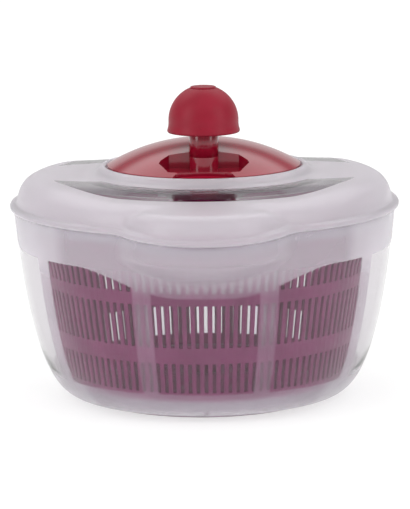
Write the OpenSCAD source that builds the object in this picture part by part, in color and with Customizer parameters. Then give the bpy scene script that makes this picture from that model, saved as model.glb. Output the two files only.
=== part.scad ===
// Crank salad spinner: bowl, slotted basket, lid with a planetary drive, and an off-centre crank knob.
// Z is up, the bowl stands on z = 0, and the spinning axis is the Z axis. The pouring spouts face -Y and +Y.

/* [Bowl] */
// Outer radius of the bowl just under its rim
bowl_r = 127.4; // [126:0.1:128]
// Height of the bowl's rim above the table
bowl_h = 128; // [127:0.5:129]
// Radius where the bowl's side runs out into its underside
bowl_base_r = 86; // [82:1:88]
// Radius of the foot ring
foot_r = 78; // [70:1:82]
// Thickness of the bowl's wall
bowl_wall = 2.2; // [1.8:0.1:2.8]

/* [Spouts] */
// Distance from the axis to the centre of each spout's round outline
spout_y = 88; // [84:0.5:92]
// Radius of each spout's outline at the lid's flange
spout_r = 63; // [58:0.5:65]
// Height at which the spouts have run back into the bowl's side
spout_low_z = 91; // [86:1:94]

/* [Basket] */
// Outer radius of the basket at its rim
basket_r = 115.5; // [112:0.5:117]
// Height of the basket's rim above the table
basket_top = 124; // [120:0.5:125]
// Height of the underside of the basket's floor
basket_floor_z = 13; // [12:0.5:16]
// Thickness of the basket's wall
basket_wall = 2; // [1.6:0.1:2.4]
// Number of drain slots in each of the three rows
slots_round = 40; // [24:4:48]
// Width of a drain slot
slot_w = 6; // [4:0.5:7]

/* [Lid] */
// Outer radius of the lid's flange
lid_r = 129.9; // [129:0.1:131]
// Height of the lid's top beside the collar
lid_top = 151; // [149:0.5:152]
// Thickness of the lid's wall
lid_wall = 2.2; // [1.8:0.1:2.6]
// Radius of the well that the crank dome turns in
well_r = 65.2; // [65.1:0.1:65.6]

/* [Crank] */
// Radius of the crank dome's rim
dome_r = 64.5; // [64:0.1:64.6]
// Height of the crank dome's rim
dome_rim_z = 156; // [155.8:0.1:156.2]
// Radius of the sphere that the dome is a cap of
dome_sphere_r = 127; // [126:0.5:129]
// Distance from the axis to the knob's post
crank_arm = 36; // [35:0.5:37]
// Radius of the knob's post
post_r = 9.7; // [9:0.1:10]
// Radius of the knob's flared lip
knob_r = 23.9; // [22:0.1:25]
// Height of the knob's flat top
knob_top = 212.4; // [212:0.1:214]

/* [Gears] */
// Gear module
gear_m = 1; // [0.9:0.05:1]
// Teeth on the ring gear
ring_teeth = 72; // [72]
// Teeth on each planet gear
planet_teeth = 27; // [27]
// Teeth on the sun gear
sun_teeth = 18; // [18]
// Play between meshing flanks
backlash = 0.2; // [0.15:0.01:0.3]

/* [Hidden] */
$fn = 96;
over = 1;                                   // how far a cutter runs past the face it cuts
gap = 0.4;                                  // clearance between parts that move past each other
fit = 0.05;                                 // radial clearance of a running fit
foot_h = 3;
foot_t = 2.5;                               // thickness of the foot ring
floor_t = 2.5;
peg_r = 7;
peg_top = 12;
cup_r = 11;
cup_skirt = 5;                              // how far the pivot cup reaches down round the bowl's peg
cup_pin_r = 6;                              // the pivot cup's pin, which the basket sits on
cup_pin_h = 9;
spout_low_r = 30;
spout_band = 15;                            // depth of the upright band below a spout's rim
lip_in = 2.3;                               // how far the bowl's wall stands inside the lid's flange
basket_slope = 1 / 6;                       // how much the basket's wall widens for each mm of height
basket_round = 13;
lug_t = 3;                                  // the lugs that the drive spider's arm ends lie between
lug_out = 10;
lug_z = 113;
lug_h = 6;
flange_h = 3.5;
spout_top = 141;                            // where the lid's wall over a spout turns level
skirt_in = 3.2;                             // how far the lid's skirt stands inside the bowl's outside
skirt_t = 1.8;
skirt_h = 7;
well_z = 148.5;
well_floor_t = 2;
collar_top = 156;
hole_r = 42;
boss_r = 3.5;
boss_h = 3.2;
pilot_r = 1.2;                              // pilot holes of the housing screws
screw_orbit = 54.5;
gear_z = 144;
gear_h = 7;
carrier_z = 142.7;                          // floor of the gear housing, under the gears
hub_top = 139.5;
pin_r = 2;
shaft_r = 4;
shaft_low = 115;
bush_r = shaft_r + 2.5;
planet_orbit = gear_m * (sun_teeth + planet_teeth) / 2;
ring_out_r = gear_m * ring_teeth / 2 + 4;
pocket_z = 158.6;                           // floor of the finger scoop
step_z = 154.8;                             // floor of the deeper step in front of it
tube_z = 152;                               // where the dome's tube meets the ring gear
tube_t = 2.2;
dome_wall = 2.5;
post_base = 166.3;
post_top = 187;
post_screw_r = 1.6;
post_screw_y = 3 - crank_arm;               // the post's screw stands behind the post's middle
spigot_r = 6;
spigot_top = 205.3;
knob_base = 182.3;
knob_screw_r = 2;
washer_r = 9.4;
cap_r = 8.5;
cap_h = 4;
arm_n = 4;
arm_z = 119.4;                              // underside of the drive spider's arms
arm_w = 22;
rows = [[20.5, 40.5], [51, 79.5], [88, 115]];       // lowest and highest point of each row of drain slots

// A point t of the way along a cubic Bezier curve
function bez(p, t) = pow(1 - t, 3) * p[0] + 3 * t * pow(1 - t, 2) * p[1]
    + 3 * t * t * (1 - t) * p[2] + pow(t, 3) * p[3];
function curve(p, n) = [for (i = [0:n]) bez(p, i / n)];
// The bowl's side, from the rim down to the underside, t thick inwards
function bowl_side(t) = curve([[bowl_r - t, bowl_h], [bowl_r - 3.7 - t, 80], [113.5 - t, 2 + t],
    [bowl_base_r, foot_h + t]], 16);
// The basket's outer radius at height z
function basket_r_at(z) = basket_r - 0.7 - (basket_top - z) * basket_slope;

// Involute gear outline with the given root and tip radii; half the play is taken from each flank
function roll(r, base) = let (a = acos(min(1, base / r))) tan(a) * 180 / PI - a;
function flank(r, pitch, teeth, play) = let (base = pitch * cos(20))
    90 / teeth + roll(pitch, base) - roll(max(r, base), base) - play / 2 / pitch * 180 / PI;
function gear_points(teeth, root, tip, play) = let (pitch = gear_m * teeth / 2, steps = 4)
    [for (i = [0:teeth - 1], side = [-1, 1], k = [0:steps])
        let (f = side < 0 ? k / steps : 1 - k / steps, r = root + (tip - root) * f,
            a = i * 360 / teeth + side * flank(r, pitch, teeth, play))
        [r * cos(a), r * sin(a)]];

module spin(n) {
    for (i = [0:n - 1]) rotate(i * 360 / n) children();
}

module spouts() {
    for (side = [-1, 1]) translate([0, side * spout_y, 0]) children();
}

module ring(r_out, r_in, z0, z1) {
    difference() {
        translate([0, 0, z0]) cylinder(r = r_out, h = z1 - z0);
        translate([0, 0, z0 - over]) cylinder(r = r_in, h = z1 - z0 + 2 * over);
    }
}

// The bowl as a solid: its outside when t is 0, and the space inside it when t is the wall
module bowl_form(t, top) {
    rotate_extrude() polygon(concat([[0, top]], top > bowl_h ? [[bowl_r - t, top]] : [], bowl_side(t),
        [[0, foot_h + t]]));
    spouts() {
        translate([0, 0, spout_low_z + t / 2])
            cylinder(r1 = spout_low_r - t, r2 = spout_r - lip_in - t, h = bowl_h - spout_band - spout_low_z);
        translate([0, 0, bowl_h - spout_band + t / 2 - 0.01])
            cylinder(r = spout_r - lip_in - t, h = top - bowl_h + spout_band - t / 2 + 0.01);
    }
}

module bowl() {
    color([0.93, 0.92, 0.95, 0.5]) {
        difference() {
            bowl_form(0, bowl_h);
            bowl_form(bowl_wall, bowl_h + over);
        }
        ring(foot_r, foot_r - foot_t, 0, foot_h + 0.5);
        // peg that the basket turns on
        translate([0, 0, foot_h + 1]) cylinder(r = peg_r, h = peg_top - foot_h - 1);
    }
}

module pivot_cup() {
    color("white") difference() {
        union() {
            translate([0, 0, peg_top]) cylinder(r = cup_pin_r, h = cup_pin_h);
            translate([0, 0, basket_floor_z - cup_skirt]) cylinder(r = cup_r, h = cup_skirt - gap);
        }
        translate([0, 0, peg_top - 10]) cylinder(r = peg_r + fit, h = 10);
    }
}

module basket() {
    wall_low = basket_floor_z + basket_round;
    color([0.55, 0.18, 0.38]) difference() {
        union() {
            difference() {
                union() {
                    rotate_extrude() polygon(concat([[0, basket_floor_z]],
                        curve([[basket_r_at(wall_low) - 9, basket_floor_z],
                            [basket_r_at(wall_low) - 4, basket_floor_z],
                            [basket_r_at(wall_low) - 1, basket_floor_z + 7],
                            [basket_r_at(wall_low), wall_low]], 6),
                        [[basket_r_at(basket_top), basket_top], [0, basket_top]]));
                    translate([0, 0, basket_top - 2]) cylinder(r = basket_r, h = 2);
                }
                rotate_extrude() polygon(concat([[0, basket_floor_z + floor_t]],
                    curve([[basket_r_at(wall_low) - 9, basket_floor_z + floor_t],
                        [basket_r_at(wall_low) - 5, basket_floor_z + floor_t],
                        [basket_r_at(wall_low) - basket_wall - 1, basket_floor_z + 8],
                        [basket_r_at(wall_low) - basket_wall, wall_low]], 6),
                    [[basket_r_at(basket_top + over) - basket_wall, basket_top + over],
                        [0, basket_top + over]]));
            }
            // hub over the pivot cup
            translate([0, 0, basket_floor_z]) cylinder(r = 9, h = 10);
        }
        translate([0, 0, basket_floor_z - over]) cylinder(r = cup_pin_r + fit, h = cup_pin_h + 0.2);
        for (row = rows) spin(slots_round)
            translate([80, -slot_w / 2, row[0]]) cube([50, slot_w, row[1] - row[0]]);
        // drain slots in the floor, between two hoops
        for (band = [[22, 44], [52, 78]]) spin(12) rotate(7.5)
            translate([band[0], -3, basket_floor_z - over]) cube([band[1] - band[0], 6, floor_t + 2 * over]);
    }
    // lugs that the drive spider turns the basket by
    color([0.55, 0.18, 0.38]) spin(arm_n) rotate(45) for (side = [-1, 1])
        translate([103.5, side * lug_out - lug_t / 2, lug_z]) cube([8.4, lug_t, lug_h]);
}

// The lid as a solid: its outside when t is 0, and the space under it when t is the wall
module lid_form(t) {
    low = bowl_h - (t > 0 ? over : 0);
    flange_z = bowl_h + flange_h - (t > 0 ? 1 : 0);
    rotate_extrude() polygon(concat([[0, low], [lid_r - (t > 0 ? t + lip_in + 2 : 0), low]],
        t > 0 ? [] : [[lid_r, bowl_h + flange_h], [lid_r - 4, bowl_h + flange_h + 1]],
        curve([[lid_r - 4.4 - t, 134], [lid_r - 6 - t, 146 - t], [lid_r - 11, lid_top - t],
            [lid_r - 20, lid_top - t]], 8),
        t > 0 ? [[76, lid_top - t], [70, well_z - well_floor_t], [0, well_z - well_floor_t]]
            : [[76, lid_top], [73, lid_top + 1.5], [70, collar_top], [0, collar_top]]));
    spouts() {
        translate([0, 0, low]) cylinder(r = spout_r - (t > 0 ? t + lip_in : 0), h = flange_z - low);
        // steep wall over the spout, and its nearly level top
        translate([0, 0, flange_z - 0.01])
            cylinder(r1 = spout_r - 4.5 - t, r2 = spout_r - 7 - t, h = spout_top - flange_z - t);
        translate([0, 0, spout_top - t - 0.02]) cylinder(r1 = spout_r - 7 - t, r2 = 10, h = 6);
    }
}

module lid() {
    color([0.95, 0.95, 0.97, 0.5]) {
        difference() {
            lid_form(0);
            lid_form(lid_wall);
            translate([0, 0, well_z]) cylinder(r = well_r, h = 20);
            translate([0, 0, well_z - 5]) cylinder(r = hole_r, h = 10);
            spin(3) translate([screw_orbit, 0, well_z - 5]) cylinder(r = pilot_r, h = 10);
        }
        // skirt that centres the lid inside the bowl's rim
        difference() {
            lid_skirt(skirt_in, bowl_h - skirt_h, bowl_h + flange_h);
            lid_skirt(skirt_in + skirt_t, bowl_h - skirt_h - over, bowl_h + flange_h + over);
        }
        spin(3) translate([screw_orbit, 0, 0]) ring(boss_r, pilot_r, well_z - 1, well_z + boss_h);
    }
}

module lid_skirt(inset, z0, z1) {
    translate([0, 0, z0]) linear_extrude(z1 - z0) {
        circle(bowl_r - inset);
        spouts() circle(spout_r - lip_in - inset);
    }
}

// Cup under the lid that carries the planet gears, with a thin funnel round the drive's hub
module gear_housing() {
    top = well_z - well_floor_t;
    low = carrier_z - 2;
    color([0.93, 0.93, 0.95]) difference() {
        rotate_extrude() polygon([[bush_r, low], [35, low], [23.4, 135.8], [25, 135.8], [38.5, 141],
            [49.5, 142.4], [49.5, 143.5], [60, 143.5], [60, top], [47, top], [47, carrier_z],
            [bush_r, carrier_z]]);
        spin(3) {
            translate([screw_orbit, 0, 143]) cylinder(r = 1.6, h = 5);
            translate([planet_orbit, 0, low - over]) cylinder(r = pin_r, h = 5);
        }
    }
}

module housing_screws() {
    color("silver") spin(3) translate([screw_orbit, 0, 0]) {
        translate([0, 0, 141.6]) cylinder(r = 3, h = 1.9);
        translate([0, 0, 143.4]) cylinder(r = pilot_r, h = 8);
    }
}

module shaft_bush() {
    color("white") {
        ring(bush_r, shaft_r + fit, carrier_z - 2, carrier_z);
        ring(bush_r + 2.5, shaft_r + fit, carrier_z - 2.7, carrier_z - 2);
    }
}

module planet_pins() {
    color("silver") spin(3) translate([planet_orbit, 0, carrier_z - 2])
        cylinder(r = pin_r, h = gear_z + gear_h + 0.5 - carrier_z + 2);
}

module gear(teeth, bore) {
    pitch = gear_m * teeth / 2;
    linear_extrude(gear_h) difference() {
        polygon(gear_points(teeth, pitch - 1.25 * gear_m, pitch + gear_m, backlash));
        circle(bore);
    }
}

module planet_gear(i) {
    turn = i * 120;
    color("ivory") rotate(turn) translate([planet_orbit, 0, gear_z])
        rotate(180 + 180 / planet_teeth) gear(planet_teeth, pin_r + fit);
}

module planet_gear_1() { planet_gear(0); }
module planet_gear_2() { planet_gear(1); }
module planet_gear_3() { planet_gear(2); }

// Internal gear, clipped to the dome's tube, with a flange under the lid that holds the dome down
module ring_gear() {
    pitch = gear_m * ring_teeth / 2;
    color("ivory") {
        translate([0, 0, gear_z]) linear_extrude(gear_h) difference() {
            circle(ring_out_r);
            polygon(gear_points(ring_teeth, pitch - gear_m, pitch + 1.25 * gear_m, -backlash));
        }
        ring(ring_out_r, pitch + 1.5, gear_z + gear_h, tube_z);
        ring(45.5, ring_out_r - 1, gear_z, well_z - well_floor_t - 0.6);
    }
}

// Everything under the dome's surface, inset from it, and above z = low
module dome_cap(inset, low) {
    drop = sqrt(pow(dome_sphere_r, 2) - pow(dome_r, 2));
    intersection() {
        translate([0, 0, dome_rim_z - drop]) sphere(r = dome_sphere_r - inset, $fn = 180);
        translate([0, 0, low]) cylinder(r = dome_r - inset, h = 40);
    }
}

module at_post(z) {
    translate([0, -crank_arm, z]) children();
}

// Outline of the finger scoop in front of the post, grown by g all round
module scoop_outline(g) {
    polygon([[-23 - g, -34 + g], [23 + g, -34 + g], [28.6 + g, -39.3 + g], [29.6 + g, -42.5],
        [20 + g, -62.5 - g], [-20 - g, -62.5 - g], [-29.6 - g, -42.5], [-28.6 - g, -39.3 + g]]);
}

// Outline of the deeper step between the scoop's floor and the dome's rim
module step_outline(g) {
    polygon([[-13.5 - g, -57 + g], [13.5 + g, -57 + g], [18.5 + g, -58.5 + g], [21 + g, -62 - g],
        [15 + g, -62.6 - g], [-15 - g, -62.6 - g], [-21 - g, -62 - g], [-18.5 - g, -58.5 + g]]);
}

module crank_dome() {
    color([0.65, 0.05, 0.12]) difference() {
        union() {
            difference() {
                dome_cap(0, well_z + gap);
                dome_cap(dome_wall, well_z + gap - over);
            }
            // walls and floor of the finger scoop
            intersection() {
                dome_cap(0, well_z);
                union() {
                    translate([0, 0, pocket_z - dome_wall]) linear_extrude(30) scoop_outline(2);
                    translate([0, 0, step_z - dome_wall]) linear_extrude(30) step_outline(2);
                }
            }
            at_post(pocket_z - dome_wall) cylinder(r = post_r, h = post_base - pocket_z + dome_wall);
            // tube that drives the ring gear
            intersection() {
                dome_cap(0, tube_z);
                ring(ring_out_r, ring_out_r - tube_t, tube_z, 172);
            }
        }
        translate([0, 0, pocket_z]) linear_extrude(30) difference() {
            scoop_outline(0);
            translate([0, -crank_arm]) circle(post_r);
        }
        translate([0, 0, step_z]) linear_extrude(30) step_outline(0);
        at_post(post_base) cylinder(r = post_r + fit, h = 30);
        translate([0, post_screw_y, pocket_z - dome_wall - over]) cylinder(r = post_screw_r, h = 12);
    }
}

module crank_post() {
    color([0.65, 0.05, 0.12]) difference() {
        union() {
            at_post(post_base) cylinder(r = post_r, h = post_top - post_base);
            at_post(post_top) cylinder(r = spigot_r, h = spigot_top - post_top);
        }
        translate([0, post_screw_y, post_base - over]) cylinder(r = post_screw_r, h = 14);
        at_post(post_top + 5) cylinder(r = knob_screw_r, h = 20);
    }
}

module post_screw() {
    color("silver") translate([0, post_screw_y, pocket_z - dome_wall]) {
        translate([0, 0, -2]) cylinder(r = 2 * post_screw_r, h = 2);
        cylinder(r = post_screw_r, h = 22);
    }
}

module knob_washer() {
    color("white") at_post(0) ring(washer_r, spigot_r, post_top, post_top + 1);
}

// Mushroom knob: a flared lip, upright sides and a round top that ends in a flat
module knob() {
    side_r = knob_r - 0.9;
    ball_z = knob_top - 0.4 - sqrt(pow(side_r, 2) - pow(cap_r, 2));
    color([0.65, 0.05, 0.12]) at_post(0) rotate_extrude() difference() {
        union() {
            intersection() {
                translate([0, ball_z]) circle(side_r);
                translate([0, knob_base]) square([side_r, knob_top - knob_base]);
            }
            translate([0, knob_base + 2]) square([side_r, ball_z - knob_base - 2]);
            polygon([[0, knob_base], [knob_r - 0.8, knob_base], [knob_r, knob_base + 0.8],
                [side_r, knob_base + 5], [0, knob_base + 5]]);
        }
        square([post_r + gap, post_top + 1 + gap]);
        square([spigot_r + fit, 210]);
        translate([0, spigot_top - 0.3]) square([cap_r, 20]);
    }
}

module knob_screw() {
    color("silver") {
        at_post(spigot_top) cylinder(r = spigot_r + 1.5, h = 2);
        at_post(post_top + 6) cylinder(r = knob_screw_r, h = spigot_top - post_top - 5.5);
    }
}

module knob_cap() {
    color([0.65, 0.05, 0.12]) at_post(knob_top - cap_h) cylinder(r = cap_r, h = cap_h);
}

module sun_gear() {
    color("ivory") translate([0, 0, gear_z]) gear(sun_teeth, shaft_r);
}

module drive_shaft() {
    color("silver") translate([0, 0, shaft_low]) cylinder(r = shaft_r, h = gear_z + gear_h + 1 - shaft_low);
}

module shaft_washer() {
    color("white") ring(7, shaft_r, carrier_z + gap, gear_z);
}

module shaft_clip() {
    color("silver") ring(shaft_r + 2, shaft_r, shaft_low + 1.5, shaft_low + 2.5);
}

// Hub with four flat arms that reach between the lugs inside the basket's rim
module drive_spider() {
    color([0.45, 0.12, 0.32]) difference() {
        union() {
            rotate_extrude() polygon([[0, shaft_low + 2.5], [14.5, shaft_low + 2.5], [14.5, 135.5], [22, 138.3],
                [22, hub_top], [0, hub_top]]);
            spin(arm_n) rotate(45) {
                translate([10, -arm_w / 2, arm_z]) cube([86, arm_w, 2.6]);
                // arm end, which lies between two of the basket's lugs
                translate([90, -8, lug_z + 1]) cube([17.5, 16, 8]);
            }
        }
        translate([0, 0, shaft_low]) cylinder(r = shaft_r, h = 40);
    }
}

bowl();
pivot_cup();
basket();
lid();
gear_housing();
housing_screws();
shaft_bush();
planet_pins();
planet_gear_1();
planet_gear_2();
planet_gear_3();
ring_gear();
crank_dome();
crank_post();
post_screw();
knob_washer();
knob();
knob_screw();
knob_cap();
sun_gear();
drive_shaft();
shaft_washer();
shaft_clip();
drive_spider();
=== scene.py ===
import math
import bpy
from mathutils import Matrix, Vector


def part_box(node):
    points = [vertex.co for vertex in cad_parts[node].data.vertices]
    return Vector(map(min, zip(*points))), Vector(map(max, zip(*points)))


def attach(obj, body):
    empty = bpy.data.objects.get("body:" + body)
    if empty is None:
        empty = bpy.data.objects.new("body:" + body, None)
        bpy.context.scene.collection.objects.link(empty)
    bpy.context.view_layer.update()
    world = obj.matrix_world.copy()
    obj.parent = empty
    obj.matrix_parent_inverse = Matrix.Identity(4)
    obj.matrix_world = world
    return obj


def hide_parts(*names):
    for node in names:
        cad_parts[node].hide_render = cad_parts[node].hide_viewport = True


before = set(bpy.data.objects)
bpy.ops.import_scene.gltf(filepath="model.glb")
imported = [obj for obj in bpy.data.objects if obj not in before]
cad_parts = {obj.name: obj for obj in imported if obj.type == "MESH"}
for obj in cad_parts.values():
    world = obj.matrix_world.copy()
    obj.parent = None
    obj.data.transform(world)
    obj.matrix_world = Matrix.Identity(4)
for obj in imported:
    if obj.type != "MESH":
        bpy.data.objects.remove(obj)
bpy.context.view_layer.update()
MM = 0.001


# ---------------------------------------------------------------- sizes in mm, from the frame
def node_box(node):
    """A CAD node's lowest and highest corners, in mm."""
    return [[v / MM for v in corner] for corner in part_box(node)]


BOWL_HIGH = node_box("bowl")[1]
LID_HIGH = node_box("lid")[1]
BASKET_LOW, BASKET_HIGH = node_box("basket")
DOME_R = node_box("crank_dome")[1][0]
KNOB_LOW, KNOB_HIGH = node_box("knob")
POST_LOW, POST_HIGH = node_box("crank_post")
CAP_LOW, CAP_HIGH = node_box("knob_cap")

SPOUT_Y = 88                               # from the axis to the centre of a spout's round outline
RIM_Z = BOWL_HIGH[2]                       # the bowl's rim, which the lid's flange sits on
BOWL_R = BOWL_HIGH[0]                      # outer radius of the bowl under its rim
BOWL_SPOUT_R = BOWL_HIGH[1] - SPOUT_Y      # radius of the bowl's outline at a spout
LID_R = LID_HIGH[0]                        # outer radius of the lid's flange
LID_SPOUT_R = LID_HIGH[1] - SPOUT_Y        # radius of the flange's outline over a spout
COLLAR_Z = LID_HIGH[2]                     # top of the collar round the dome
BASKET_R = BASKET_HIGH[0]
BASKET_TOP = BASKET_HIGH[2]
BASKET_FLOOR = BASKET_LOW[2]
ARM = -(KNOB_LOW[1] + KNOB_HIGH[1]) / 2    # from the axis to the knob's post
POST_R = POST_HIGH[0]
KNOB_R = KNOB_HIGH[0]
CAP_R = (CAP_HIGH[0] - CAP_LOW[0]) / 2
AROUND = 480                               # steps round the bowl and the lid


# ---------------------------------------------------------------- small maths
def mix(a, b, t):
    return a + (b - a) * t


def smooth(lo, hi, x):
    """0 at lo and 1 at hi, with soft ends."""
    t = min(1.0, max(0.0, (x - lo) / (hi - lo)))
    return t * t * (3 - 2 * t)


def soft_max(a, b, k):
    """The larger of a and b, with the corner between them rounded over about k."""
    h = max(k - abs(a - b), 0.0) / k
    return max(a, b) + h * h * k / 4


def bezier(points, t):
    (a, b, c, d), u = points, 1 - t
    return tuple(u ** 3 * a[i] + 3 * t * u * u * b[i] + 3 * t * t * u * c[i] + t ** 3 * d[i] for i in (0, 1))


def spline(points, steps):
    """A Catmull-Rom curve through (x, y) points, with that many steps between each two."""
    out = []
    last = len(points) - 1
    for i in range(last):
        near = (points[max(i - 1, 0)], points[i], points[i + 1], points[min(i + 2, last)])
        for s in range(steps):
            t = s / steps
            out.append(tuple(
                0.5 * (2 * b + (c - a) * t + (2 * a - 5 * b + 4 * c - d) * t ** 2
                       + (3 * b - a - 3 * c + d) * t ** 3)
                for a, b, c, d in zip(*near)))
    return out + [tuple(points[-1])]


def off_spout(theta):
    """Degrees from the nearer spout's middle, 0 to 90; theta is measured from -Y."""
    a = abs(math.degrees(theta)) % 180
    return min(a, 180 - a)


CORNER = 5                  # rounding of the inner corner between a round outline and a lobe


def outline(theta, radius, spout_r):
    """Radius of a round outline with a lobe over each spout."""
    a = math.radians(off_spout(theta))
    reach = (SPOUT_Y * math.sin(a)) ** 2
    lobe = 0.0
    if spout_r ** 2 > reach:
        lobe = SPOUT_Y * math.cos(a) + math.sqrt(spout_r ** 2 - reach)
    return soft_max(radius, lobe, CORNER)


def spout_share(theta):
    """0 beside a spout and 1 at its middle: how far the flange stands out there."""
    far = outline(0.0, LID_R, LID_SPOUT_R) - LID_R
    return min(1.0, max(0.0, (outline(theta, LID_R, LID_SPOUT_R) - LID_R) / far))


# ---------------------------------------------------------------- mesh making, in mm
def new_object(name, verts, faces, material, flat=False):
    mesh = bpy.data.meshes.new(name)
    mesh.from_pydata([(x * MM, y * MM, z * MM) for x, y, z in verts], [], faces)
    mesh.update()
    if not flat:
        mesh.shade_smooth()
    obj = bpy.data.objects.new(name, mesh)
    bpy.context.scene.collection.objects.link(obj)
    mesh.materials.append(material)
    return obj


def shell(name, rings, material):
    """A surface through rings of points, each as long as the next; a ring of one point is a pole."""
    verts, starts = [], []
    for ring in rings:
        starts.append(len(verts))
        verts.extend(ring)
    faces = []
    for i in range(len(rings) - 1):
        a, b, n, m = starts[i], starts[i + 1], len(rings[i]), len(rings[i + 1])
        count = max(n, m)
        for j in range(count):
            k = (j + 1) % count
            if n == 1:
                faces.append((a, b + k, b + j))
            elif m == 1:
                faces.append((a + j, a + k, b))
            else:
                faces.append((a + j, a + k, b + k, b + j))
    return new_object(name, verts, faces, material)


def circle(radius, z, steps, y=0.0):
    angles = [2 * math.pi * j / steps for j in range(steps)]
    return [(radius * math.sin(a), y - radius * math.cos(a), z) for a in angles]


def lathe(name, profile, material, y=0.0, steps=96):
    """A turned piece about a vertical axis at y, from (radius, z) points; a radius of 0 makes a pole."""
    rings = [circle(r, z, steps, y) if r > 0 else [(0, y, z)] for r, z in profile]
    return shell(name, rings, material)


def shaped_ring(point_at):
    """One ring of a big shell: point_at gives (radius, z) at an angle from -Y towards +X."""
    ring = []
    for j in range(AROUND):
        theta = 2 * math.pi * j / AROUND
        r, z = point_at(theta)
        ring.append((r * math.sin(theta), -r * math.cos(theta), z))
    return ring


def soften(obj, width, angle=40):
    """Rounds an object's sharp edges."""
    bevel = obj.modifiers.new("edges", "BEVEL")
    bevel.width = width * MM
    bevel.segments = 2
    bevel.limit_method = "ANGLE"
    bevel.angle_limit = math.radians(angle)


def block(name, low, high, turn, material):
    """A box with rounded edges, turned about Z."""
    verts = []
    for z in (low[2], high[2]):
        for x, y in ((low[0], low[1]), (high[0], low[1]), (high[0], high[1]), (low[0], high[1])):
            verts.append((x * math.cos(turn) - y * math.sin(turn),
                          x * math.sin(turn) + y * math.cos(turn), z))
    faces = [(3, 2, 1, 0), (4, 5, 6, 7), (0, 1, 5, 4), (1, 2, 6, 5), (2, 3, 7, 6), (3, 0, 4, 7)]
    obj = new_object(name, verts, faces, material, flat=True)
    soften(obj, 0.5)
    return obj


def place(piece, body, slot, *nodes):
    """A piece rides on a body and may stand for CAD nodes, which it hides; slot is not used."""
    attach(piece, body)
    if nodes:
        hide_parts(*nodes)


# ---------------------------------------------------------------- node materials
class Nodes:
    """Short names for the nodes of one procedural material."""

    def __init__(self, name):
        self.mat = bpy.data.materials.new(name)
        self.mat.use_nodes = True
        self.tree = self.mat.node_tree
        self.shader = self.tree.nodes["Principled BSDF"]
        self.coords = self.tree.nodes.new("ShaderNodeTexCoord").outputs["Object"]
        split = self.tree.nodes.new("ShaderNodeSeparateXYZ")
        self.link(self.coords, split.inputs[0])
        self.x, self.y, self.z = split.outputs

    def link(self, a, b):
        self.tree.links.new(a, b)

    def put(self, value, socket):
        if isinstance(value, (int, float, tuple)):
            socket.default_value = value
        else:
            self.link(value, socket)

    def math(self, op, a, b=0.0):
        node = self.tree.nodes.new("ShaderNodeMath")
        node.operation = op
        self.put(a, node.inputs[0])
        self.put(b, node.inputs[1])
        return node.outputs[0]

    def step(self, value, lo, hi):
        """0 at lo and 1 at hi, smoothly; lo may be above hi."""
        node = self.tree.nodes.new("ShaderNodeMapRange")
        node.interpolation_type = "SMOOTHSTEP"
        first, last = (0.0, 1.0) if lo < hi else (1.0, 0.0)
        self.put(value, node.inputs["Value"])
        self.put(min(lo, hi), node.inputs["From Min"])
        self.put(max(lo, hi), node.inputs["From Max"])
        self.put(first, node.inputs["To Min"])
        self.put(last, node.inputs["To Max"])
        return node.outputs["Result"]

    def scale(self, value, lo, hi):
        """Turns 0 to 1 into lo to hi."""
        return self.math("ADD", self.math("MULTIPLY", value, hi - lo), lo)

    def noise(self, size, detail=3.0, stretch=(1.0, 1.0, 1.0)):
        """Noise with blotches about size mm wide."""
        mapping = self.tree.nodes.new("ShaderNodeMapping")
        mapping.inputs["Scale"].default_value = stretch
        self.link(self.coords, mapping.inputs["Vector"])
        node = self.tree.nodes.new("ShaderNodeTexNoise")
        node.inputs["Scale"].default_value = 1 / (size * MM)
        node.inputs["Detail"].default_value = detail
        self.link(mapping.outputs["Vector"], node.inputs["Vector"])
        return node.outputs[0]

    def colours(self, value, first, last):
        node = self.tree.nodes.new("ShaderNodeMix")
        node.data_type = "RGBA"
        self.put(value, node.inputs[0])
        self.put((*first, 1.0), node.inputs[6])
        self.put((*last, 1.0), node.inputs[7])
        return node.outputs[2]

    def bump(self, height, distance):
        """Bump of a height that is distance mm at most."""
        node = self.tree.nodes.new("ShaderNodeBump")
        node.inputs["Distance"].default_value = distance * MM
        self.link(height, node.inputs["Height"])
        self.link(node.outputs[0], self.shader.inputs["Normal"])

    def set(self, **values):
        """Sets the shader's sockets; an underscore stands for a space."""
        for key, value in values.items():
            self.put(value, self.shader.inputs[key.replace("_", " ")])
        return self.mat


def moulded(name, dark, light, roughness, grain=0.35, depth=0.02, coat=0.0, shine=0.5):
    """Solid moulded plastic: slight colour variation, a fine grain and uneven gloss."""
    n = Nodes(name)
    fine = n.noise(grain, 4.0)
    n.bump(fine, depth)
    n.set(Base_Color=n.colours(n.step(n.noise(20), 0.3, 0.7), dark, light),
          Roughness=n.scale(fine, roughness - 0.05, roughness + 0.05), Specular_IOR_Level=shine)
    if coat:
        n.set(Coat_Weight=coat, Coat_Roughness=0.05)
    return n.mat


def brushed_steel():
    n = Nodes("brushed_steel")
    lines = n.noise(0.4, 2.0, (1.0, 1.0, 12.0))
    n.bump(lines, 0.01)
    return n.set(Base_Color=n.colours(lines, (0.5, 0.5, 0.52), (0.72, 0.72, 0.74)), Metallic=1.0,
                 Roughness=n.scale(lines, 0.22, 0.38))


# The bowl's frosting: stripes part the clear windows, at these angles from a spout's middle
STRIPES = (19.5, 58.0)
STRIPE_HALF = 3.0
STRIPE_SOFT = 0.3          # half the width of a stripe's soft edge, in degrees
BAND_Z = 104               # lower edge of the frosted band round the top
BAND_DROP = 17             # how much lower it hangs under a spout
BAND_PROUD = 0.45          # how far the band stands out from the windows
BAND_SOFT = 0.4            # half the width of the change from clear to frosted, in mm
BASE_FROST_Z = 21          # top of the frosted zone round the base
BASE_SOFT = 0.5
HANG_FROM, HANG_FULL = 42, 8    # degrees from a spout's middle between which the band comes down
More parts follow.
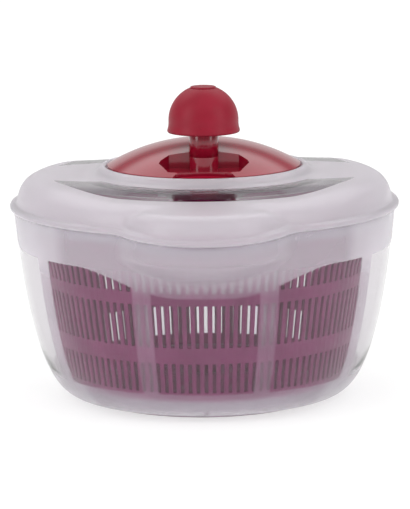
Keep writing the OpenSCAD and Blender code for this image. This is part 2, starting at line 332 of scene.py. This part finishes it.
# The lid's frosting leaves two clear crescents, between these radii
WINDOW_IN, WINDOW_OUT = 79, 104
WINDOW_END = 59.0          # half the angle that a crescent spans at its inner edge
WINDOW_LEAN = 13.0         # how much more it spans at its outer edge
WINDOW_SOFT = 0.3


def spout_angle(n):
    """Angle from the nearer spout's middle."""
    return n.math("ARCTAN2", n.math("ABSOLUTE", n.x), n.math("ABSOLUTE", n.y))


def frost_mask_bowl(n):
    """1 where the bowl is frosted and 0 in its clear windows."""
    angle = spout_angle(n)
    hang = n.step(angle, math.radians(HANG_FROM), math.radians(HANG_FULL))
    above = n.math("ADD", n.z, n.math("MULTIPLY", hang, BAND_DROP * MM))
    mask = n.step(above, (BAND_Z - BAND_SOFT) * MM, (BAND_Z + BAND_SOFT) * MM)
    base = n.step(n.z, (BASE_FROST_Z + BASE_SOFT) * MM, (BASE_FROST_Z - BASE_SOFT) * MM)
    mask = n.math("MAXIMUM", mask, base)
    for stripe in STRIPES:
        off = n.math("ABSOLUTE", n.math("SUBTRACT", angle, math.radians(stripe)))
        edge = n.step(off, math.radians(STRIPE_HALF + STRIPE_SOFT), math.radians(STRIPE_HALF - STRIPE_SOFT))
        mask = n.math("MAXIMUM", mask, edge)
    return mask


def frost_mask_lid(n):
    """1 where the lid is frosted and 0 in its two clear crescents."""
    radius = n.math("SQRT", n.math("ADD", n.math("POWER", n.x, 2.0), n.math("POWER", n.y, 2.0)))
    out = n.math("DIVIDE", n.math("SUBTRACT", radius, WINDOW_IN * MM), (WINDOW_OUT - WINDOW_IN) * MM)
    end = n.scale(out, math.radians(WINDOW_END), math.radians(WINDOW_END + WINDOW_LEAN))
    clear = n.step(n.math("SUBTRACT", end, spout_angle(n)), 0.0, math.radians(1.0))
    beyond = n.step(radius, (WINDOW_IN - WINDOW_SOFT) * MM, (WINDOW_IN + WINDOW_SOFT) * MM)
    within = n.step(radius, (WINDOW_OUT + WINDOW_SOFT) * MM, (WINDOW_OUT - WINDOW_SOFT) * MM)
    clear = n.math("MULTIPLY", n.math("MULTIPLY", clear, beyond), within)
    return n.math("SUBTRACT", 1.0, clear)


CLEAR_TINT = (0.78, 0.76, 0.78)
FROST_TINT = (0.86, 0.82, 0.88)
LID_TINT = (0.92, 0.875, 0.93)
CLEAR_ROUGHNESS = 0.02
BOWL_ROUGHNESS, LID_ROUGHNESS, PALE_ROUGHNESS = 0.24, 0.3, 0.5    # where they are frosted
LID_MILK, PALE_MILK = 0.4, 0.5             # how milky the frosting of the lid and of the small parts is
PLASTIC_IOR = 1.45


def frosted_plastic(name, mask_of, tint, milky_of, rough):
    """Translucent plastic: polished clear where mask_of gives 0, and frosted where it gives 1."""
    n = Nodes(name)
    fine = n.noise(0.5, 4.0)
    cloud = n.noise(30)
    frost = mask_of(n)
    milky = n.math("MULTIPLY", milky_of(n), n.scale(cloud, 0.95, 1.05))
    n.bump(n.math("MULTIPLY", fine, frost), 0.012)
    through = n.math("SUBTRACT", 1.0, n.math("MULTIPLY", frost, milky))
    roughness = n.math("ADD", n.scale(frost, CLEAR_ROUGHNESS, rough), n.math("MULTIPLY", fine, 0.03))
    return n.set(Base_Color=n.colours(frost, CLEAR_TINT, tint), Transmission_Weight=through,
                 IOR=PLASTIC_IOR, Roughness=roughness)


MILK_LOW, MILK_BAND = 0.06, 0.28           # milkiness of the bowl's frosting low down, and round the top
MILK_BASE, MILK_SIDE = 0.02, 0.13          # how much more it is round the base, and away from the spouts
MILK_FROM_Z, MILK_FULL_Z = 84, 106         # it thickens towards the top between these heights
SIDE_FROM, SIDE_FULL = 45, 52              # and between these angles from a spout's middle


def bowl_milk(n):
    """How milky the bowl's frosting is: densest in the band round the top and at the sides."""
    band = n.step(n.z, MILK_FROM_Z * MM, MILK_FULL_Z * MM)
    base = n.step(n.z, (BASE_FROST_Z + 3) * MM, (BASE_FROST_Z - 1) * MM)
    side = n.step(spout_angle(n), math.radians(SIDE_FROM), math.radians(SIDE_FULL))
    more = n.math("ADD", n.math("MULTIPLY", base, MILK_BASE), n.math("MULTIPLY", side, MILK_SIDE))
    return n.math("ADD", n.scale(band, MILK_LOW, MILK_BAND), more)


def evenly_frosted(n):
    """The same frosting all over, a little uneven."""
    return n.scale(n.noise(8), 0.92, 1.0)


# ---------------------------------------------------------------- the bowl
WALL = 2.2
LIP = 0.5                   # rounding of the rim's edges
SPOUT_BAND_Z = 113          # a spout's wall is upright above this
SPOUT_LOW_Z = 92            # and its belly has run back into the bowl's side about here
SPOUT_LOW_R = 31            # radius of its outline down there
SPOUT_DIP = 3.0             # how much lower the rim is over a spout
SIDE = ((BOWL_R, RIM_Z), (BOWL_R - 3.7, 80), (113.5, 2), (86, 3))
FOOT = ((40, 3.1), (72, 3.1), (75.2, 2.8), (75.8, 0.6), (76.3, 0), (77.6, 0), (78.2, 0.7), (79.2, 2.4),
        (82, 2.9))
PEG = ((82, 5.3), (60, 5.3), (20, 5.3), (9, 5.3), (7.6, 5.8), (7, 7), (7, 11.2), (6.4, 12))


def spout_radius(z):
    """Radius of a spout's outline on the bowl at height z."""
    t = (z - SPOUT_LOW_Z) / (SPOUT_BAND_Z - SPOUT_LOW_Z)
    if t < 0:
        return max(0.0, SPOUT_LOW_R - 4 * (SPOUT_LOW_Z - z))
    return mix(SPOUT_LOW_R, BOWL_SPOUT_R, min(1.0, t) ** 0.85)


def bowl_ring(r, z, inset=0.0):
    """One ring of the bowl's wall: r at the sides, out to the spouts, and dipping at the rim over them."""
    def at(theta):
        dip = SPOUT_DIP * spout_share(theta) * smooth(SPOUT_BAND_Z - 4, RIM_Z, z)
        return outline(theta, r, spout_radius(z) - inset), z - dip
    return shaped_ring(at)


def make_bowl(material):
    side = [bezier(SIDE, i / 44) for i in range(45)]
    rings = [[(0, 0, 3.2)]] + [circle(r, z, AROUND) for r, z in FOOT]
    for r, z in reversed(side):
        if z < RIM_Z - LIP:
            rings.append(bowl_ring(r - BAND_PROUD * (1 - smooth(BAND_Z - 0.6, BAND_Z + 0.6, z)), z))
    lip = ((0, RIM_Z - LIP), (0.15, RIM_Z - 0.15), (LIP, RIM_Z), (WALL - LIP, RIM_Z), (WALL, RIM_Z - LIP))
    for inset, z in lip:
        rings.append(bowl_ring(BOWL_R - inset, z, inset))
    for r, z in side:
        if z < RIM_Z - LIP and r > 88:
            rings.append(bowl_ring(r - WALL, z + WALL * (1 - smooth(5, 40, z)), WALL))
    rings += [circle(r, z, AROUND) for r, z in PEG] + [[(0, 0, 12)]]
    place(shell("bowl_shell", rings, material), "bowl", "frosted", "bowl")


# ---------------------------------------------------------------- the lid
WELL_Z = COLLAR_Z - 7.5     # floor of the well that the dome turns in
HOLE_R = 42                 # radius of the hole in the well's floor
SKIRT = 7                   # how deep the skirt inside the bowl's rim is
OUTSIDE_STEPS, INSIDE_STEPS = 6, 3    # rings to each of the profile's points
CREST = 6                   # how far a lobe stands out where its top is level and its wall steep
LOWER_FROM, LOWER_FULL = 62, 30    # degrees from a spout's middle between which the lid's top comes down

# Rings of the lid's shoulder, from the top outwards: radius and height at the sides of the bowl, how much
# lower that is towards the front and back, then radius and height over a spout
SHOULDER = ((112.8, 149.4, 4.0, 118, 145.3), (118.6, 146.6, 3.4, 131, 143.9),
            (122.2, 142.6, 2.0, 138.5, 142.6), (124.1, 138.2, 0.8, 142.8, 140.2),
            (125.0, 134.6, 0.3, 144.9, 136.4), (125.4, 133.4, 0.0, 145.9, 132.2))
# How much of the wall's thickness the space inside lies in from each ring, outwards and downwards
SHOULDER_IN = ((0.1, 1.0), (0.4, 0.9), (0.7, 0.7), (0.9, 0.4), (1.0, 0.2), (1.0, 0.1))


def shoulder_ring(theta, slope, ring):
    side_r, side_z, lower, spout_r, spout_z = ring
    r = outline(theta, side_r, spout_r - SPOUT_Y)
    return r, mix(side_z - lower * slope, spout_z, smooth(0, CREST, r - side_r))


def lid_columns(theta):
    """(radius, z) points round the lid's wall, from the hole's upper edge outwards and back below."""
    slope = smooth(LOWER_FROM, LOWER_FULL, off_spout(theta))
    edge = outline(theta, LID_R, LID_SPOUT_R)
    inner = outline(theta, BOWL_R, BOWL_SPOUT_R)
    rim = RIM_Z - spout_share(theta) * SPOUT_DIP
    crown = [(HOLE_R, WELL_Z), (64, WELL_Z), (DOME_R + 0.8, WELL_Z + 0.1), (DOME_R + 1, WELL_Z + 1),
             (DOME_R + 1.1, COLLAR_Z - 1), (DOME_R + 1.6, COLLAR_Z - 0.3), (67.2, COLLAR_Z),
             (68.8, COLLAR_Z - 0.3), (70.2, COLLAR_Z - 1.7), (72.2, COLLAR_Z - 3.6), (74.6, COLLAR_Z - 4.7),
             (79, COLLAR_Z - 5.1)]
    brow = [(88, 150.9 - 0.9 * slope), (97, 150.8 - 2.4 * slope), (104, 150.5 - 3.6 * slope)]
    shoulder = [shoulder_ring(theta, slope, ring) for ring in SHOULDER]
    flange = [(edge - 4.2, rim + 4.6), (edge - 3.2, rim + 4.0), (edge - 1.7, rim + 4.1),
              (edge - 0.6, rim + 3.5), (edge, rim + 2.2), (edge - 0.1, rim + 1.0), (edge - 0.7, rim + 0.2),
              (edge - 1.6, rim), (inner - 2.6, rim)]
    skirt = [(inner - 3.1, rim - 0.4), (inner - 3.2, rim - SKIRT + 0.4), (inner - 3.6, rim - SKIRT),
             (inner - 4.6, rim - SKIRT), (inner - 5, rim - SKIRT + 0.4), (inner - 5.1, rim + 1)]
    under = [(r - WALL * out, z - WALL * down) for (r, z), (out, down) in zip(shoulder, SHOULDER_IN)]
    well = [(79, COLLAR_Z - 7.4), (73, COLLAR_Z - 7.8), (68, COLLAR_Z - 9.2), (64, WELL_Z - 2),
            (HOLE_R, WELL_Z - 2)]
    top = spline([crown[-1]] + brow + shoulder + [flange[0]], OUTSIDE_STEPS)
    inside = spline(under[::-1] + [(r, z - WALL) for r, z in reversed(brow)], INSIDE_STEPS)
    return crown[:-1] + top + flange[1:] + skirt + inside + well


def make_lid(material):
    columns = []
    for j in range(AROUND):
        theta = 2 * math.pi * j / AROUND
        columns.append([(r * math.sin(theta), -r * math.cos(theta), z) for r, z in lid_columns(theta)])
    rings = [list(ring) for ring in zip(*columns)][::-1]
    place(shell("lid_shell", rings + rings[:1], material), "lid", "frosted", "lid")


# ---------------------------------------------------------------- the basket
BASKET_WALL = 1.8
BASKET_SLOPE = 1 / 6                                   # how much the wall widens for each mm of height
BASKET_ROUND = 13                                      # height of the rounded foot of the wall
SLOTS = 120                                            # drain slots in each row
SLOT_SHARE = 0.46                                      # how much of each pitch is slot
ROWS = ((20.6, 40.4), (51.2, 79.6), (88.0, 115.0))     # lowest and highest point of each row
FLOOR_RIBS = 24
FLOOR_PITCH = 3.4                                      # from one hoop of the floor to the next
HOOP = 1.9                                             # width and thickness of a hoop
LUG_IN, LUG_OUT = 104.2, 111.6                         # the lugs under the rim stand in four pairs
LUG_LOW, LUG_HIGH = 113, 119
LUG_HALF = 1.5
LUG_APART = 20


def basket_r(z):
    """Outer radius of the basket at height z."""
    lean = BASKET_R - 0.7 - (BASKET_TOP - max(z, BASKET_FLOOR + BASKET_ROUND)) * BASKET_SLOPE
    up = min(1.0, (z - BASKET_FLOOR) / BASKET_ROUND)
    return lean - 9 * (1 - math.sqrt(1 - (1 - up) ** 2))


def holed_grid(name, rings, hole, material, thickness):
    """A wall through rings of points, without the cells for which hole(ring, column) is true."""
    columns = len(rings[0])
    faces = []
    for i in range(len(rings) - 1):
        for j in range(columns):
            if not hole(i, j):
                k = (j + 1) % columns
                a, b = i * columns, (i + 1) * columns
                faces.append((a + j, a + k, b + k, b + j))
    obj = new_object(name, [p for ring in rings for p in ring], faces, material)
    solid = obj.modifiers.new("wall", "SOLIDIFY")
    solid.thickness = thickness * MM
    solid.offset = -1
    soften(obj, 0.25, 50)
    return obj


def basket_levels():
    """Heights of the wall's rings, each with whether a row of slots lies just above it."""
    marks = [BASKET_FLOOR + step for step in (0, 0.5, 1.5, 3.5)]
    for low, high in ROWS:
        steps = int((high - low) / 4)
        marks += [low, low + 0.8] + [mix(low, high, s / steps) for s in range(1, steps)] + [high - 0.8, high]
    marks += [118, 120.5]
    open_above = [any(low <= z < high for low, high in ROWS) for z in marks]
    return marks, open_above


def make_basket_wall(material):
    levels, open_above = basket_levels()
    pitch = 2 * math.pi / SLOTS
    angles = [pitch * (i + off) for i in range(SLOTS) for off in (-SLOT_SHARE / 2, SLOT_SHARE / 2, 0.5)]
    rings = []
    for z in levels:
        r = basket_r(z)
        rings.append([(r * math.sin(a), -r * math.cos(a), z) for a in angles])

    def hole(i, j):
        return open_above[i] and j % 3 == 0
    return holed_grid("basket_wall", rings, hole, material, BASKET_WALL)


def make_basket_floor(material):
    """Hoops with slots between them, crossed by radial ribs."""
    hoops = [9.0, 12.0, 18.0, 20.0]
    while hoops[-1] < basket_r(BASKET_FLOOR) - 5:
        hoops += [hoops[-1] + FLOOR_PITCH - HOOP, hoops[-1] + FLOOR_PITCH]
    hoops.append(basket_r(BASKET_FLOOR))
    slots = range(3, len(hoops) - 2, 2)
    pitch = 2 * math.pi / FLOOR_RIBS
    parts = 8
    angles = [pitch * (i + 0.07 + 0.86 * s / parts) for i in range(FLOOR_RIBS) for s in range(parts + 1)]
    rings = [[(r * math.sin(a), -r * math.cos(a), BASKET_FLOOR) for a in angles] for r in hoops]

    def hole(i, j):
        return i in slots and j % (parts + 1) < parts
    return holed_grid("basket_floor", rings, hole, material, HOOP)


def make_basket(material):
    wall = make_basket_wall(material)
    base = make_basket_floor(material)
    rim = lathe("basket_rim", (
        (basket_r(120) - 2.2, 118.5), (basket_r(118.5) + 0.1, 118.2), (basket_r(120) + 0.6, 119.6),
        (BASKET_R - 0.4, BASKET_TOP - 2.2), (BASKET_R, BASKET_TOP - 1.5), (BASKET_R, BASKET_TOP - 0.6),
        (BASKET_R - 0.6, BASKET_TOP), (BASKET_R - 2.1, BASKET_TOP), (BASKET_R - 2.8, BASKET_TOP - 0.7),
        (basket_r(120) - 2.2, 118.5)), material, steps=240)
    hub = lathe("basket_hub", ((6.1, 13), (9.4, 13), (9.4, 22.4), (8.8, 23), (1.5, 23), (0, 23)),
                material, steps=64)
    place(wall, "basket", "berry", "basket")
    for piece in (base, rim, hub):
        place(piece, "basket", "berry")
    for i in range(8):
        side = LUG_APART / 2 if i % 2 else -LUG_APART / 2
        lug = block(f"basket_lug_{i + 1}", (LUG_IN, side - LUG_HALF, LUG_LOW),
                    (LUG_OUT, side + LUG_HALF, LUG_HIGH), math.radians(45 + 90 * (i // 2)), material)
        place(lug, "basket", "berry")


# ---------------------------------------------------------------- knob and post
CAP_GAP = 0.25              # width of the fine groove round the knob's cap
SPIGOT = 18.3               # how far the post's spigot runs on into the knob


def make_knob(material):
    top, low = KNOB_HIGH[2], KNOB_LOW[2]
    side = KNOB_R - 0.9
    ball_z = top - 0.4 - math.sqrt(side ** 2 - CAP_R ** 2)
    inside = [(0, low + 20), (POST_R - 3, low + 20), (POST_R + 0.5, low + 3.2), (POST_R + 2, low + 3)]
    lip = [(KNOB_R - 3.4, low + 2.2), (KNOB_R - 2.2, low + 0.3), (KNOB_R - 1.4, low),
           (KNOB_R - 0.5, low + 0.2), (KNOB_R, low + 0.9), (KNOB_R - 0.15, low + 2.0),
           (side + 0.25, low + 3.6), (side, low + 6)]
    angles = [math.pi / 2 * i / 40 for i in range(40)]
    ball = [(side * math.cos(a), ball_z + side * math.sin(a)) for a in angles]
    ball = [(r, z) for r, z in ball if r > CAP_R + 2 * CAP_GAP]
    seat = [(CAP_R + CAP_GAP, top - 0.55), (CAP_R + 0.05, top - 0.9), (CAP_R + 0.05, top - 3), (0, top - 3)]
    place(lathe("knob_shell", inside + lip + ball + seat, material, -ARM, 128), "knob", "red_satin", "knob")


def make_knob_cap(material):
    top, low = CAP_HIGH[2], CAP_LOW[2] + 1.5
    profile = ((0, low), (CAP_R - 0.1, low), (CAP_R - 0.1, top - 0.5), (CAP_R - 0.25, top - 0.15),
               (CAP_R - 0.7, top), (CAP_R * 0.5, top), (0, top))
    place(lathe("knob_cap_disc", profile, material, -ARM), "knob", "red_satin", "knob_cap")


def make_post(material):
    foot, top = POST_LOW[2], POST_HIGH[2]
    shoulder = top - SPIGOT
    profile = ((0, foot), (POST_R, foot), (POST_R, foot + 10), (POST_R, shoulder - 0.6),
               (POST_R - 0.5, shoulder), (6, shoulder), (6, top - 0.3), (5.7, top), (0, top))
    place(lathe("post_shell", profile, material, -ARM), "crank", "red_gloss", "crank_post")


def finish_node(node, material, edge=0.0):
    """Gives a CAD node its material, and softens its edges."""
    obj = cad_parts[node]
    obj.data.materials.clear()
    obj.data.materials.append(material)
    if edge:
        soften(obj, edge)


# ---------------------------------------------------------------- build it
RED_DARK, RED_LIGHT = (0.27, 0.004, 0.020), (0.31, 0.006, 0.026)
BERRY_DARK, BERRY_LIGHT = (0.38, 0.058, 0.215), (0.44, 0.074, 0.250)
IVORY_DARK, IVORY_LIGHT = (0.72, 0.69, 0.60), (0.80, 0.77, 0.69)

red_gloss = moulded("red_gloss", RED_DARK, RED_LIGHT, 0.16, depth=0.004, coat=0.3)
red_satin = moulded("red_satin", RED_DARK, RED_LIGHT, 0.45, depth=0.03, shine=0.3)
berry = moulded("berry", BERRY_DARK, BERRY_LIGHT, 0.35, depth=0.006, shine=0.25)
ivory = moulded("ivory_gears", IVORY_DARK, IVORY_LIGHT, 0.35)
steel = brushed_steel()
pale_plastic = frosted_plastic("pale_plastic", evenly_frosted, FROST_TINT, lambda n: PALE_MILK,
                               PALE_ROUGHNESS)
bowl_plastic = frosted_plastic("bowl_plastic", frost_mask_bowl, FROST_TINT, bowl_milk, BOWL_ROUGHNESS)
lid_plastic = frosted_plastic("lid_plastic", frost_mask_lid, LID_TINT, lambda n: LID_MILK, LID_ROUGHNESS)

make_bowl(bowl_plastic)
make_lid(lid_plastic)
make_basket(berry)
make_knob(red_satin)
make_knob_cap(red_satin)
make_post(red_gloss)
finish_node("crank_dome", red_gloss, 0.3)
finish_node("drive_spider", berry, 0.4)
for name in ("pivot_cup", "gear_housing", "shaft_bush"):
    finish_node(name, pale_plastic)
for name in ("knob_washer", "shaft_washer", "ring_gear", "sun_gear", "planet_gear_1", "planet_gear_2",
             "planet_gear_3"):
    finish_node(name, ivory)
for name in ("housing_screws", "planet_pins", "post_screw", "knob_screw", "drive_shaft", "shaft_clip"):
    finish_node(name, steel)


# ---------------------------------------------------------------- floor, light and camera
FLOOR_HALF = 3000
FLOOR_GLOW = 0.64


def make_floor():
    n = Nodes("pale_floor")
    n.set(Base_Color=n.colours(n.noise(400), (0.44, 0.44, 0.44), (0.46, 0.46, 0.46)), Roughness=0.9,
          Specular_IOR_Level=0.0, Emission_Color=(1.0, 1.0, 1.0, 1.0), Emission_Strength=FLOOR_GLOW)
    half = FLOOR_HALF
    corners = [(-half, -half, 0), (half, -half, 0), (half, half, 0), (-half, half, 0)]
    new_object("floor", corners, [(0, 1, 2, 3)], n.mat, flat=True)


def area_light(name, place_at, size, power):
    """A soft box that points at the middle of the object."""
    light = bpy.data.lights.new(name, "AREA")
    light.shape = "RECTANGLE"
    light.size, light.size_y = size
    light.energy = power
    obj = bpy.data.objects.new(name, light)
    obj.location = place_at
    obj.rotation_euler = (Vector((0, 0, 0.1)) - Vector(place_at)).to_track_quat("-Z", "Y").to_euler()
    bpy.context.scene.collection.objects.link(obj)


AMBIENT_LOW, AMBIENT_HIGH = 0.3, 1.25      # what matt surfaces get from the horizon and from overhead
STUDIO_DARK = 0.28                         # how bright the unlit studio looks in a reflection
BACKDROP = 0.72                            # the white backdrop in a reflection
SOFTBOX = 1.3                              # and how much more the big softbox above and behind adds
THROUGH = 0.95                             # share of the ambient light that comes through the plastic


def studio_world():
    """White behind everything; reflections see a backdrop, a softbox above it and a dark studio in front."""
    world = bpy.data.worlds.new("studio")
    bpy.context.scene.world = world
    world.use_nodes = True
    tree = world.node_tree
    path = tree.nodes.new("ShaderNodeLightPath")
    split = tree.nodes.new("ShaderNodeSeparateXYZ")
    tree.links.new(tree.nodes.new("ShaderNodeTexCoord").outputs["Generated"], split.inputs[0])
    back, up = split.outputs[1:]

    def plug(values, sockets):
        for value, socket in zip(values, sockets):
            if isinstance(value, (int, float)):
                socket.default_value = value
            else:
                tree.links.new(value, socket)

    def ramp(value, source, target=(0.0, 1.0)):
        node = tree.nodes.new("ShaderNodeMapRange")
        node.interpolation_type = "SMOOTHSTEP"
        plug((value, *source, *target), node.inputs)
        return node.outputs[0]

    def times(*values):
        out = values[0]
        for value in values[1:]:
            node = tree.nodes.new("ShaderNodeMath")
            node.operation = "MULTIPLY"
            plug((out, value), node.inputs)
            out = node.outputs[0]
        return out

    def plus(a, b):
        node = tree.nodes.new("ShaderNodeMath")
        plug((a, b), node.inputs)
        return node.outputs[0]

    def choose(switch, off, on):
        node = tree.nodes.new("ShaderNodeMix")
        plug((switch,), node.inputs)
        plug((off, on), node.inputs[2:4])
        return node.outputs[0]

    backdrop = times(ramp(back, (0.0, 0.5)), ramp(up, (0.28, 0.4), (1.0, 0.0)), BACKDROP - STUDIO_DARK)
    softbox = times(ramp(back, (0.1, 0.3)), ramp(up, (0.45, 0.6)), ramp(up, (0.9, 0.98), (1.0, 0.0)), SOFTBOX)
    sheen = plus(plus(backdrop, softbox), STUDIO_DARK)
    ambient = ramp(up, (-0.1, 0.9), (AMBIENT_LOW, AMBIENT_HIGH))
    strength = choose(path.outputs["Is Glossy Ray"], ambient, sheen)
    strength = choose(path.outputs["Is Transmission Ray"], strength, times(ambient, THROUGH))
    strength = choose(path.outputs["Is Camera Ray"], strength, 1.0)
    plug((strength,), [tree.nodes["Background"].inputs["Strength"]])
    tree.nodes["Background"].inputs["Color"].default_value = (1, 1, 1, 1)


CAMERA_UP = math.radians(10.1)         # elevation
CAMERA_ROLL = math.radians(0.66)
CAMERA_AWAY = 2.2
FRAME_WIDTH = 0.2751                   # what the view spans at the object
AIM_Z = 0.0942


def make_camera():
    data = bpy.data.cameras.new("camera")
    data.sensor_width = 36
    data.sensor_fit = "HORIZONTAL"
    data.lens = data.sensor_width * CAMERA_AWAY / FRAME_WIDTH
    camera = bpy.data.objects.new("camera", data)
    bpy.context.scene.collection.objects.link(camera)
    camera.location = (0, -CAMERA_AWAY * math.cos(CAMERA_UP), AIM_Z + CAMERA_AWAY * math.sin(CAMERA_UP))
    camera.rotation_euler = (Vector((0, 0, AIM_Z)) - camera.location).to_track_quat("-Z", "Y").to_euler()
    camera.rotation_euler.rotate_axis("Z", -CAMERA_ROLL)
    bpy.context.scene.camera = camera


make_floor()
area_light("left_panel", (-1.1, -0.75, 0.6), (0.45, 1.1), 4.5)
area_light("right_panel", (1.1, -0.75, 0.6), (0.45, 1.1), 3.5)
studio_world()
make_camera()
bpy.context.scene.view_settings.view_transform = "Standard"
bpy.context.scene.cycles.max_bounces = 16
bpy.context.scene.cycles.transmission_bounces = 14
